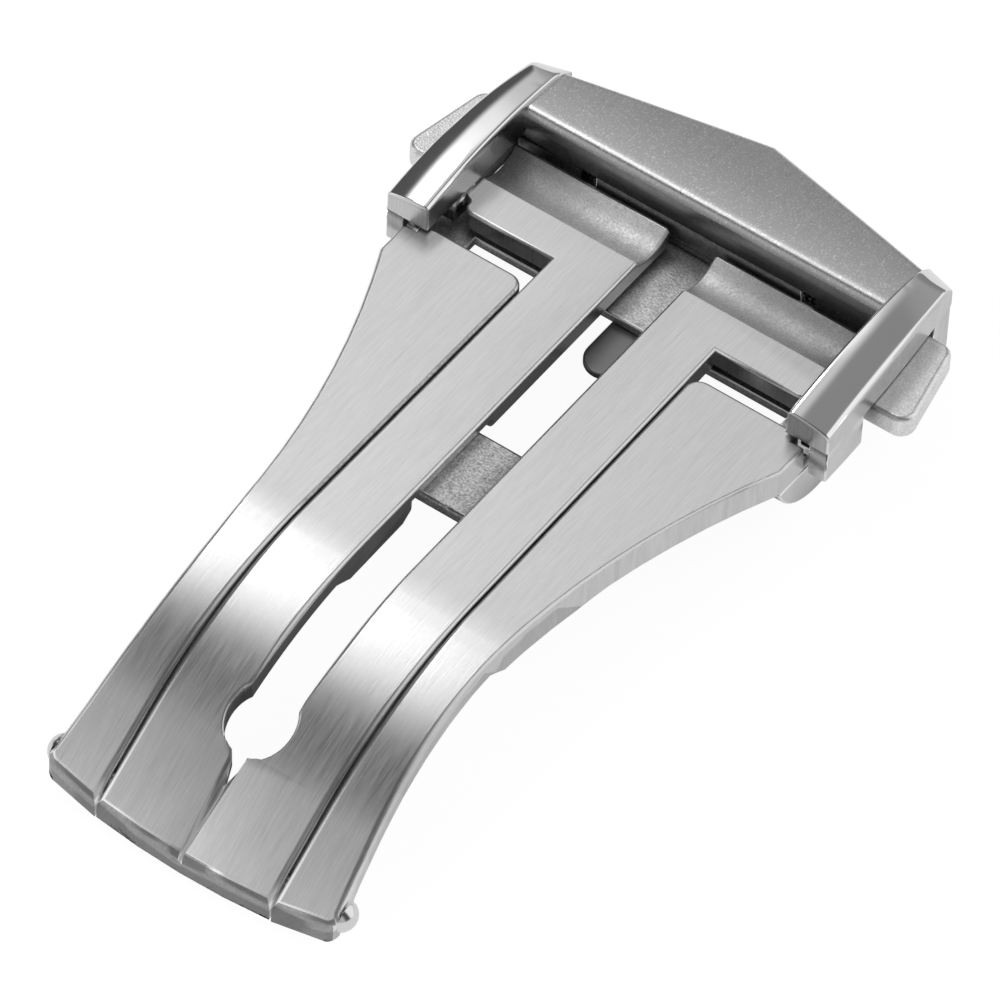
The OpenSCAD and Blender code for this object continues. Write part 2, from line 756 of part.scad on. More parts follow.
module spring_rods() {
    color("silver") standing() for (side = [left, right])
        bar(side * (block_half_w - rod_depth), side * (latch_in + 0.4), latch_mid_y, latch_mid_z, rod_r);
}

module latch_cover() {
    slot_in = hook_in - button_travel - hook_gap;
    slot_out = hook_out + hook_gap;
    color("darkgray") standing() difference() {
        box([-cover_half_w, latch_front, cover_bottom_z],
            [cover_half_w, latch_front + latch_len, cover_top_z]);
        for (side = [left, right]) {
            box([side * slot_in, hook_front - hook_gap, cover_bottom_z - 1],
                [side * slot_out, hook_back + hook_gap, cover_top_z + 1]);
            translate([side * screw_x, latch_mid_y, cover_bottom_z - 1]) cylinder(r = screw_r, h = 2);
        }
    }
}

module cover_screws() {
    slot_half_w = 0.06;
    slot_depth = 0.12;
    thread_len = 0.75;
    color("silver") standing() for (side = [left, right])
        translate([side * screw_x, latch_mid_y, cover_bottom_z]) difference() {
            cylinder(r = screw_r, h = cover_t + thread_len);
            translate([-2 * screw_r, -slot_half_w, -1]) cube([4 * screw_r, 2 * slot_half_w, 1 + slot_depth]);
        }
}

// Outline of a button, seen from above: slanted outer face with rounded corners
module button_outline() {
    c = button_corner_r;
    hull() {
        translate([button_in, button_front]) square([0.1, button_len]);
        translate([button_out - c, button_front + c]) circle(r = c);
        translate([button_out - button_slant - c, button_back - c]) circle(r = c);
    }
}

module button(side) {
    mirror([side == left ? 1 : 0, 0, 0]) difference() {
        upright(button_bottom_z, latch_top_z) button_outline();
        bar(button_in - 1, button_in + button_pin_out, latch_mid_y, latch_mid_z, button_pin_r);
    }
}

module left_button() { color("lightgray") standing() button(left); }

module right_button() { color("lightgray") standing() button(right); }

module latch(side) {
    rod_hole_r = rod_r + 0.06;
    difference() {
        union() {
            box([side * latch_in, latch_front, latch_bottom_z],
                [side * button_in, latch_front + latch_len, latch_top_z]);
            box([side * hook_in, hook_front, hook_bottom_z], [side * hook_out, hook_back, latch_mid_z]);
        }
        bar(side * (latch_in - 1), side * (latch_in + button_travel + 0.6),
            latch_mid_y, latch_mid_z, rod_hole_r);
        bar(side * (button_in - button_pin_in), side * (button_in + 1),
            latch_mid_y, latch_mid_z, button_pin_r);
    }
}

module left_latch() { color("darkgray") standing() latch(left); }

module right_latch() { color("darkgray") standing() latch(right); }

module button_pin(side) {
    bar(side * (button_in - button_pin_in), side * (button_in + button_pin_out),
        latch_mid_y, latch_mid_z, button_pin_r);
}

module left_button_pin() { color("silver") standing() button_pin(left); }

module right_button_pin() { color("silver") standing() button_pin(right); }

// Helical spring along X, as one tube of the wire
module button_spring(side) {
    coil_steps = 14;
    sides = 6;
    mean_r = spring_r - wire_r;
    run = spring_len - 2 * wire_r;
    rings = spring_turns * coil_steps;
    function ring(i) = let (a = 360 * i / coil_steps, x = block_half_w + wire_r + run * i / rings)
        [for (k = [0 : sides - 1]) let (b = 360 * k / sides, r = mean_r + wire_r * cos(b))
            [x + wire_r * sin(b), latch_mid_y + r * cos(a), latch_mid_z + r * sin(a)]];
    points = [for (i = [0 : rings]) each ring(i)];
    walls = [for (i = [0 : rings - 1]) for (k = [0 : sides - 1])
        let (a = i * sides + k, b = i * sides + (k + 1) % sides)
            each [[a, b, b + sides], [a, b + sides, a + sides]]];
    last = rings * sides;
    caps = [for (k = [1 : sides - 2]) each [[0, k + 1, k], [last, last + k, last + k + 1]]];
    mirror([side == left ? 1 : 0, 0, 0]) polyhedron(points, concat(walls, caps));
}

module left_spring() { color("dimgray") standing() button_spring(left); }

module right_spring() { color("dimgray") standing() button_spring(right); }

outer_blade();
catch_plate();
strap_tongue();
tongue_rivets();
fold_pin();
inner_blade();
buckle_frame();
left_foot_pin();
right_foot_pin();
left_locating_pin();
right_locating_pin();
spring_rods();
latch_cover();
cover_screws();
left_button();
left_latch();
left_button_pin();
right_button();
right_latch();
right_button_pin();
left_spring();
right_spring();
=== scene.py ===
"""Looks of the deployant clasp: finishes, softened edges, swept rails, wound springs, studio and camera."""

import math

import bmesh
import bpy
from mathutils import Matrix, Vector


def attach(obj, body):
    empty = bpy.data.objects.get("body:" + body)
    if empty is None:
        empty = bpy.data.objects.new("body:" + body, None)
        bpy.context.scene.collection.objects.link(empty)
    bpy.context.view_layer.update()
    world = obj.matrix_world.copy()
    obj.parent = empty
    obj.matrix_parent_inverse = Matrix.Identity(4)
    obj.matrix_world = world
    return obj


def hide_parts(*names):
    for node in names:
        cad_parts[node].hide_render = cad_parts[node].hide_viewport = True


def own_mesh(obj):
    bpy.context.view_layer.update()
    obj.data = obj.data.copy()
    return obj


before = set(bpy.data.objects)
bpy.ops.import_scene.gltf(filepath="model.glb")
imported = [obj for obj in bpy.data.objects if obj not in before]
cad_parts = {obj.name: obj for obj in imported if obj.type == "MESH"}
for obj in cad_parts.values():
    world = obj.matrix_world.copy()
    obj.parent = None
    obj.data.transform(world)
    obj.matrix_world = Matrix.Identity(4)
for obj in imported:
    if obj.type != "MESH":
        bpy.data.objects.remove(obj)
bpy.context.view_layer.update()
scene = bpy.context.scene
MM = 0.001

# The blades' flat top is level in the maker's frame; the clasp stands tilted by this much
STAND_TILT = math.radians(-5.87)
STAND_Y = 8.7585
STAND_Z = 4.9005
STANDING = Matrix.Translation((0, STAND_Y * MM, STAND_Z * MM)) @ Matrix.Rotation(STAND_TILT, 4, "X")
LYING = STANDING.inverted()
# Takes the maker's millimetres to where the clasp stands
FROM_MAKER = STANDING @ Matrix.Scale(MM, 4)

# Sizes in millimetres, in the maker's frame
RAIL_IN = 9.1
RAIL_W = 2.1
RAIL_LEN = 10.4
RAIL_TAPER = 0.65
RAIL_TILT = math.radians(8.0)
CROWN_R = 7.0
ARCH_R = 27.0
CREST_Y = 5.6
CREST_Z = 0.8
BACK_ROUND_R = 2.7
BACK_TURN = math.radians(12.0)
BACK_DROP = 0.05
CORNER_ROUND = 0.6
HEAD_ARCH_R = 22.8
HEAD_CREST_Z = 0.64
HEAD_FRONT = 6.8
HEAD_PEAK = 12.35
HEAD_RISE = 2.45
HEAD_OVERLAP = 0.3
HEAD_FRONT_ROUNDING = 0.5
HEAD_BACK_ROUNDING = 0.25
FRAME_ROUNDING = 0.08
FRAME_UNDER = -1.0
BLADE_TOP = -1.15
TROUGH_BACK = 6.28
TROUGH_FRONT = 3.9
CROSS_FRONT = -7.0
CROSS_BACK = -11.2
BEND_START = -15.2
HINGE_END = -29.1
# Painted light: from here to the hinge end the brushed steel's colour is lifted, up to this many times
HINGE_LIGHT_START = -24.7
HINGE_LIGHT_LIFT = 1.4
KEYHOLE_Y = -23.7
TAIL_TOP = Vector((0, -25.45, -4.35))
TAIL_UP = Vector((0, -math.sin(math.radians(34.7)), math.cos(math.radians(34.7))))
ARM_HALF_W = 4.2
EAR_IN = 9.33
LATCH_Y = 7.35
LATCH_Z = -1.53
SPRING_START = 3.3
WIRE_R = 0.07
SPRING_LENGTH = 2.7


# Node trees

# Noise cells per metre: lines across and along the brushing, its bands and flecks, patches and haze
LINES_ACROSS = 15000.0
LINES_ALONG = 500.0
BANDS = (3200.0, 240.0, 240.0)
FLECKS = (15000.0, 7500.0, 7500.0)
PATCHES = (2300.0, 2300.0, 2300.0)
HAZE = (900.0, 900.0, 900.0)
# Between these lie most of a noise's values
NOISE_LOW = 0.3
NOISE_HIGH = 0.7
# Depth of the lines and of the pits in metres, and how the flecks show
LINE_DEPTH = 0.000012
PIT_DEPTH = 0.00003
FLECK_STRENGTH = 0.55
FLECK_COLOR = (0.97, 0.97, 0.97, 1.0)


def link(tree, source, target):
    tree.links.new(source, target)


def new_group(name, inputs, outputs):
    """Shader node group with named float and vector sockets."""
    group = bpy.data.node_groups.new(name, "ShaderNodeTree")
    kinds = {"float": "NodeSocketFloat", "vector": "NodeSocketVector"}
    for label, kind, value in inputs:
        socket = group.interface.new_socket(label, in_out="INPUT", socket_type=kinds[kind])
        if value is not None:
            socket.default_value = value
    for label, kind in outputs:
        group.interface.new_socket(label, in_out="OUTPUT", socket_type=kinds[kind])
    return group, group.nodes.new("NodeGroupInput"), group.nodes.new("NodeGroupOutput")


def feed(tree, socket, value):
    """Sets a socket to a number or links it to another node's output."""
    if isinstance(value, (int, float, tuple)):
        socket.default_value = value
    else:
        link(tree, value, socket)


def math_node(tree, operation, *values):
    node = tree.nodes.new("ShaderNodeMath")
    node.operation = operation
    for i, value in enumerate(values):
        feed(tree, node.inputs[i], value)
    return node.outputs[0]


def noise_node(tree, vector, detail, roughness=0.5):
    node = tree.nodes.new("ShaderNodeTexNoise")
    node.inputs["Scale"].default_value = 1.0
    node.inputs["Detail"].default_value = detail
    node.inputs["Roughness"].default_value = roughness
    link(tree, vector, node.inputs["Vector"])
    return node.outputs["Fac"]


def scaled(tree, vector, scale):
    node = tree.nodes.new("ShaderNodeVectorMath")
    node.operation = "MULTIPLY"
    link(tree, vector, node.inputs[0])
    feed(tree, node.inputs[1], scale)
    return node.outputs[0]


def remap(tree, value, low, high, to_low, to_high, smooth=False):
    """Takes a value from one range to another."""
    node = tree.nodes.new("ShaderNodeMapRange")
    node.interpolation_type = "SMOOTHSTEP" if smooth else "LINEAR"
    for socket, number in zip(("From Min", "From Max", "To Min", "To Max"), (low, high, to_low, to_high)):
        feed(tree, node.inputs[socket], number)
    link(tree, value, node.inputs["Value"])
    return node.outputs["Result"]


def blended(tree, first, second, share):
    """Sum of two patterns, the first with the given share and the second with the rest."""
    return math_node(tree, "ADD", math_node(tree, "MULTIPLY", first, share),
                     math_node(tree, "MULTIPLY", second, 1.0 - share))


def brushed_grain():
    """Fine lines along the clasp with a few bright flecks, as a fine belt leaves them."""
    tree, given, result = new_group(
        "brushed_grain",
        [("Vector", "vector", None), ("Line Length", "float", 1.0), ("Fleck Share", "float", 0.5)],
        [("Lines", "float"), ("Flecks", "float"), ("Height", "float")],
    )
    run = math_node(tree, "DIVIDE", LINES_ALONG, given.outputs["Line Length"])
    stretch = tree.nodes.new("ShaderNodeCombineXYZ")
    stretch.inputs["X"].default_value = LINES_ACROSS
    link(tree, run, stretch.inputs["Y"])
    link(tree, run, stretch.inputs["Z"])
    lines = noise_node(tree, scaled(tree, given.outputs["Vector"], stretch.outputs[0]), 3.0, 0.65)
    bands = noise_node(tree, scaled(tree, given.outputs["Vector"], BANDS), 2.0)
    fleck = noise_node(tree, scaled(tree, given.outputs["Vector"], FLECKS), 1.0)
    low = math_node(tree, "SUBTRACT", 0.78, math_node(tree, "MULTIPLY", given.outputs["Fleck Share"], 0.12))
    high = math_node(tree, "ADD", low, 0.05)
    link(tree, blended(tree, lines, bands, 0.75), result.inputs["Lines"])
    link(tree, remap(tree, fleck, low, high, 0.0, 1.0, smooth=True), result.inputs["Flecks"])
    link(tree, lines, result.inputs["Height"])
    return tree


def blasted_grain():
    """Fine pits in every direction, as bead blasting leaves them."""
    tree, given, result = new_group(
        "blasted_grain",
        [("Vector", "vector", None), ("Grain Size", "float", 0.09)],
        [("Pits", "float"), ("Height", "float")],
    )
    size = math_node(tree, "DIVIDE", 1000.0, given.outputs["Grain Size"])
    spread = tree.nodes.new("ShaderNodeCombineXYZ")
    for axis in "XYZ":
        link(tree, size, spread.inputs[axis])
    pits = noise_node(tree, scaled(tree, given.outputs["Vector"], spread.outputs[0]), 2.0, 0.6)
    patches = noise_node(tree, scaled(tree, given.outputs["Vector"], PATCHES), 2.0)
    link(tree, blended(tree, pits, patches, 0.75), result.inputs["Pits"])
    link(tree, pits, result.inputs["Height"])
    return tree


BRUSHED = brushed_grain()
BLASTED = blasted_grain()


def steel(name, shade, roughness):
    """Plain steel; returns the material, its tree, its shader and its object coordinates."""
    material = bpy.data.materials.new(name)
    material.use_nodes = True
    tree = material.node_tree
    shader = tree.nodes["Principled BSDF"]
    shader.inputs["Base Color"].default_value = (shade, shade, shade, 1.0)
    shader.inputs["Metallic"].default_value = 1.0
    shader.inputs["Roughness"].default_value = roughness
    place = tree.nodes.new("ShaderNodeTexCoord").outputs["Object"]
    return material, tree, shader, place


def greys(tree, value, shade, contrast):
    """Grey that swings about a shade as a pattern goes from low to high."""
    ramp = tree.nodes.new("ShaderNodeValToRGB")
    ends = zip(ramp.color_ramp.elements, (NOISE_LOW, NOISE_HIGH), (shade - contrast, shade + contrast))
    for stop, position, grey in ends:
        stop.position = position
        stop.color = (grey, grey, grey, 1.0)
    link(tree, value, ramp.inputs["Fac"])
    return ramp.outputs["Color"]


def bumped(tree, shader, height, strength, distance):
    """Raises a pattern on a surface by a distance in metres."""
    bump = tree.nodes.new("ShaderNodeBump")
    bump.inputs["Strength"].default_value = strength
    bump.inputs["Distance"].default_value = distance
    link(tree, height, bump.inputs["Height"])
    link(tree, bump.outputs["Normal"], shader.inputs["Normal"])


def painted_light_to_hinge(tree, place, color):
    """Lifts a colour towards the hinge end: painted light, where the blades brighten towards their end."""
    parts = tree.nodes.new("ShaderNodeSeparateXYZ")
    link(tree, place, parts.inputs[0])
    start = (HINGE_LIGHT_START + STAND_Y) * MM
    end = (HINGE_END + STAND_Y) * MM
    lifted = tree.nodes.new("ShaderNodeVectorMath")
    lifted.operation = "SCALE"
    link(tree, color, lifted.inputs[0])
    link(tree, remap(tree, parts.outputs["Y"], start, end, 1.0, HINGE_LIGHT_LIFT), lifted.inputs["Scale"])
    return lifted.outputs[0]


def brushed_steel(name, shade, roughness, line_length=0.8, flecks=0.3, contrast=0.08, relief=0.25):
    """Steel with brushed lines, bright flecks and painted light towards the hinge end."""
    material, tree, shader, place = steel(name, shade, roughness)
    grain = tree.nodes.new("ShaderNodeGroup")
    grain.node_tree = BRUSHED
    grain.inputs["Line Length"].default_value = line_length
    grain.inputs["Fleck Share"].default_value = flecks
    link(tree, place, grain.inputs["Vector"])
    mix = tree.nodes.new("ShaderNodeMix")
    mix.data_type = "RGBA"
    link(tree, math_node(tree, "MULTIPLY", grain.outputs["Flecks"], FLECK_STRENGTH), mix.inputs["Factor"])
    link(tree, greys(tree, grain.outputs["Lines"], shade, contrast), mix.inputs["A"])
    mix.inputs["B"].default_value = FLECK_COLOR
    # Base colour with painted light that lifts it towards the hinge end
    link(tree, painted_light_to_hinge(tree, place, mix.outputs["Result"]), shader.inputs["Base Color"])
    rough = remap(tree, grain.outputs["Lines"], NOISE_LOW, NOISE_HIGH, roughness - 0.05, roughness + 0.06)
    link(tree, rough, shader.inputs["Roughness"])
    bumped(tree, shader, grain.outputs["Height"], relief, LINE_DEPTH)
    return material


def blasted_steel(name, shade, roughness, grain_size=0.09, contrast=0.12, relief=0.4):
    """Steel with fine pits, the deeper ones darker and rougher."""
    material, tree, shader, place = steel(name, shade, roughness)
    grain = tree.nodes.new("ShaderNodeGroup")
    grain.node_tree = BLASTED
    grain.inputs["Grain Size"].default_value = grain_size
    link(tree, place, grain.inputs["Vector"])
    link(tree, greys(tree, grain.outputs["Pits"], shade, contrast), shader.inputs["Base Color"])
    rough = remap(tree, grain.outputs["Pits"], NOISE_LOW, NOISE_HIGH, roughness + 0.06, roughness - 0.06)
    link(tree, rough, shader.inputs["Roughness"])
    bumped(tree, shader, grain.outputs["Height"], relief, PIT_DEPTH)
    return material


def polished_steel(name, shade, roughness, haze=0.03):
    """Smooth steel with a faint haze here and there."""
    material, tree, shader, place = steel(name, shade, roughness)
    cloud = noise_node(tree, scaled(tree, place, HAZE), 3.0)
    link(tree, remap(tree, cloud, 0.35, 0.7, roughness, roughness + haze), shader.inputs["Roughness"])
    return material


FINISH = {
    "wing": brushed_steel("wing_brushed", 0.65, 0.33),
    "arm": brushed_steel("arm_brushed", 0.67, 0.32),
    "flank": brushed_steel("flank_satin", 0.58, 0.30, line_length=1.2, flecks=0.2, contrast=0.08,
                           relief=0.15),
    "head": brushed_steel("head_bar_brushed", 0.60, 0.30, line_length=0.6, flecks=1.6, contrast=0.03,
                          relief=0.12),
    # Darker satin for the head bar's front face and the blades' upright ends: partly a duller machined
    # finish, partly painted shade
    "shade": blasted_steel("satin_painted_shade", 0.36, 0.34, grain_size=0.12, contrast=0.05, relief=0.2),
    "rail": polished_steel("rail_polished", 0.76, 0.07),
    "trough": blasted_steel("trough_blasted", 0.82, 0.50, grain_size=0.095, contrast=0.17, relief=0.6),
    # Darker blasted steel for the cross plate under the arms: painted shade where the arms shadow it
    "plate": blasted_steel("plate_blasted", 0.44, 0.40, grain_size=0.11, contrast=0.2),
    "catch": blasted_steel("catch_blasted", 0.60, 0.42, grain_size=0.11, contrast=0.22, relief=0.5),
    "button": blasted_steel("button_blasted", 0.78, 0.38, grain_size=0.085, contrast=0.15, relief=0.5),
    "edge": polished_steel("edge_burnished", 0.74, 0.22),
    # Dark grey for the strap tongue as painted shade under the catch plate; the locating pins share it
    "tongue": polished_steel("tongue_dark", 0.2, 0.3, haze=0.08),
    "pin": polished_steel("pin_polished", 0.7, 0.18),
    # Near-black steel for the mechanism inside and the frame's inner walls: painted shade where the gaps look
    # dark
    "inner": blasted_steel("inner_plain", 0.16, 0.45, grain_size=0.15, contrast=0.05, relief=0.3),
    # The spring wire is nearly black as painted shade, so that it shows as a dark gap
    "wire": polished_steel("spring_wire", 0.12, 0.4),
}


# Pieces

def maker(point):
    """A point of the row frame, in the maker's frame and in millimetres."""
    return (LYING @ point) / MM


def sharp_edges(work, keep, angle=32):
    """Convex edges between faces that meet at more than the given angle."""
    return [
        edge for edge in work.edges
        if len(edge.link_faces) == 2 and edge.is_convex and edge.calc_face_angle(0) > math.radians(angle)
        and keep(maker(edge.verts[0].co), maker(edge.verts[1].co), edge)
    ]


def widths(work, edges, width):
    """How wide the rounding of each given edge is, in millimetres, by the edge's number."""
    work.edges.index_update()
    return {
        edge.index: width(maker((edge.verts[0].co + edge.verts[1].co) / 2)) if callable(width) else width
        for edge in edges
    }


def everywhere(first, second, edge):
    """Lets every edge be rounded."""
    return True


def faces_up(edge):
    """Whether one of an edge's faces belongs to a top side."""
    turn = LYING.to_3x3()
    return max((turn @ face.normal).z for face in edge.link_faces) > 0.5


def end_corner(first, second):
    """Whether an edge is an upright corner of the blades' hinge end."""
    line = second - first
    at_end = max(first.y, second.y) < HINGE_END + 1.2
    return at_end and line.length > 0.35 and abs(line.normalized() @ TAIL_UP) > 0.9


def on_top(place):
    """Whether a point of the bent part lies on the blades' top side."""
    return place.y > TAIL_TOP.y or (place - TAIL_TOP) @ TAIL_UP > -0.1


def merged(node):
    """Copy of a CAD node's mesh with its points merged and its flats joined."""
    work = bmesh.new()
    work.from_mesh(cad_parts[node].data)
    bmesh.ops.remove_doubles(work, verts=work.verts, dist=0.0008 * MM)
    bmesh.ops.dissolve_limit(work, angle_limit=math.radians(0.6), verts=work.verts, edges=work.edges)
    bmesh.ops.dissolve_degenerate(work, dist=0.045 * MM, edges=work.edges)
    return work


def shown(work, name, kinds, rule, roundings, segments=3):
    """Object of a worked mesh: listed edges rounded, other faces in the finish that the rule names."""
    share = work.edges.layers.float.new("bevel_weight_edge")
    widest = max(roundings.values())
    for edge in work.edges:
        edge[share] = roundings.get(edge.index, 0.0) / widest
    for face in work.faces:
        face.material_index = 0
    mesh = bpy.data.meshes.new(name)
    work.to_mesh(mesh)
    work.free()
    piece = bpy.data.objects.new(name, mesh)
    scene.collection.objects.link(piece)
    for kind in kinds:
        mesh.materials.append(FINISH[kind])
    rounding = piece.modifiers.new("round", "BEVEL")
    rounding.limit_method = "WEIGHT"
    rounding.width = widest * MM
    rounding.segments = segments
    rounding.use_clamp_overlap = False
    rounding.loop_slide = False
    rounding.material = kinds.index("edge") if "edge" in kinds else -1
    mesh = applied(piece).data
    mesh.attributes.remove(mesh.attributes["bevel_weight_edge"])
    turn = LYING.to_3x3()
    for face in mesh.polygons:
        face.use_smooth = True
        if kinds[face.material_index] != "edge":
            face.material_index = kinds.index(rule(maker(face.center), turn @ face.normal))
    weigh = piece.modifiers.new("weigh", "WEIGHTED_NORMAL")
    weigh.keep_sharp = False
    weigh.weight = 80
    return applied(piece)


def applied(piece):
    """Turns a piece's modifiers into plain mesh."""
    graph = bpy.context.evaluated_depsgraph_get()
    mesh = bpy.data.meshes.new_from_object(piece.evaluated_get(graph))
    piece.modifiers.clear()
    piece.data = mesh
    return piece


def softened(node, name, width, segments, kinds, rule, keep=everywhere):
    """Copy of a CAD node with rounded edges, burnished where its finishes include the edge one."""
    work = merged(node)
    return shown(work, name, kinds, rule, widths(work, sharp_edges(work, keep), width), segments)


def seat(piece, body, slot, *nodes):
    """Puts a piece in place of its CAD nodes and on their body; the slot it is given is not used."""
    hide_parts(*nodes)
    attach(piece, body)
    return piece


def end_face(place, direction):
    """Whether a face is on the upright end at the fold pin."""
    return place.y < HINGE_END + 1.0 and direction.y < -0.7


def wing_rule(place, direction):
    # The upright end gets the darker satin, painted shade
    if end_face(place, direction):
        return "shade"
    # The cross plate under the arms takes the darker plate finish, painted shade
    in_cross = CROSS_BACK - 0.01 < place.y < CROSS_FRONT + 0.01 and abs(place.x) < ARM_HALF_W + 0.2
    if in_cross:
        return "plate"
    return "wing" if direction.z > 0.55 else "flank"


def arm_rule(place, direction):
    # The upright end gets the darker satin, painted shade
    if end_face(place, direction):
        return "shade"
    below_top = BLADE_TOP - 0.6 < place.z < BLADE_TOP - 0.004
    if TROUGH_FRONT < place.y < TROUGH_BACK and below_top and direction.z > 0.3:
        return "trough"
    return "arm" if direction.z > 0.55 else "flank"


def catch_rule(place, direction):
    return "flank" if abs(place.x) > EAR_IN else "catch"


def only(kind):
    """Rule of a piece that has one finish."""
    return lambda place, direction: kind


def blade_rounding(place):
    """The blades' edges are rounder towards the hinge end, but not round the keyhole."""
    tail = min(max((BEND_START - 1 - place.y) / 7, 0), 1)
    away = min(max(math.hypot(place.x, place.y - KEYHOLE_Y) / 2 - 1, 0), 1)
    return 0.13 + (0.04 + 0.13 * tail) * away


def in_groove(place):
    """Whether a point is on the vee groove behind the keyhole."""
    return place.y < KEYHOLE_Y - 1.1 and abs(place.x) < 0.9


def blade_edges(first, second, edge):
    """All edges of the flat parts, but only the top edges and the end's corners of the bent ones."""
    if in_groove(first) and in_groove(second):
        return False
    if min(first.y, second.y) > BEND_START + 2 or end_corner(first, second):
        return True
    return faces_up(edge) and on_top(first) and on_top(second)


def arm_edges(first, second, edge):
    """The blades' edges, without the feet's tabs under the rails."""
    return max(abs(first.x), abs(second.x)) < RAIL_IN - 0.1 and blade_edges(first, second, edge)


wings = softened(
    "outer_blade", "wings", blade_rounding, 4, ["wing", "flank", "plate", "shade"], wing_rule, blade_edges,
)
seat(wings, "outer_blade", "wing_satin", "outer_blade")

arms = softened(
    "inner_blade", "arms", blade_rounding, 4, ["arm", "flank", "trough", "shade"], arm_rule, arm_edges,
)
seat(arms, "inner_blade", "arm_satin", "inner_blade")

catch = softened("catch_plate", "catch_plate_dressed", 0.09, 2, ["catch", "flank", "edge"], catch_rule)
seat(catch, "outer_blade", "plate_blasted", "catch_plate")

tongue = softened("strap_tongue", "strap_tongue_dressed", 0.08, 3, ["tongue"], only("tongue"))
seat(tongue, "outer_blade", "tongue_dark", "strap_tongue")

for side in ("left", "right"):
    button = softened(side + "_button", side + "_button_dressed", 0.24, 4, ["button"], only("button"))
    seat(button, side + "_button", "button_blasted", side + "_button")


# Rails and springs, made by Geometry Nodes

def new_shape(name, **sizes):
    """Geometry Nodes tree with named sizes, in millimetres, or as a slope or a count."""
    tree = bpy.data.node_groups.new(name, "GeometryNodeTree")
    tree.interface.new_socket("Geometry", in_out="OUTPUT", socket_type="NodeSocketGeometry")
    for label, value in sizes.items():
        tree.interface.new_socket(label, in_out="INPUT", socket_type="NodeSocketFloat").default_value = value
    tree.interface.new_socket("finish", in_out="INPUT", socket_type="NodeSocketMaterial")
    return tree, tree.nodes.new("NodeGroupInput"), tree.nodes.new("NodeGroupOutput")


def swept(tree, given, result, path, profile, reshaped=lambda shape: shape):
    """Ends a shape tree: sweeps a profile along a path, reshapes it and gives it its finish."""
    tube = tree.nodes.new("GeometryNodeCurveToMesh")
    tube.inputs["Fill Caps"].default_value = True
    link(tree, path, tube.inputs["Curve"])
    link(tree, profile, tube.inputs["Profile Curve"])
    real = tree.nodes.new("GeometryNodeRealizeInstances")
    link(tree, reshaped(tube.outputs[0]), real.inputs[0])
    coated = tree.nodes.new("GeometryNodeSetMaterial")
    link(tree, real.outputs[0], coated.inputs["Geometry"])
    link(tree, given.outputs["finish"], coated.inputs["Material"])
    link(tree, coated.outputs[0], result.inputs[0])
    return tree


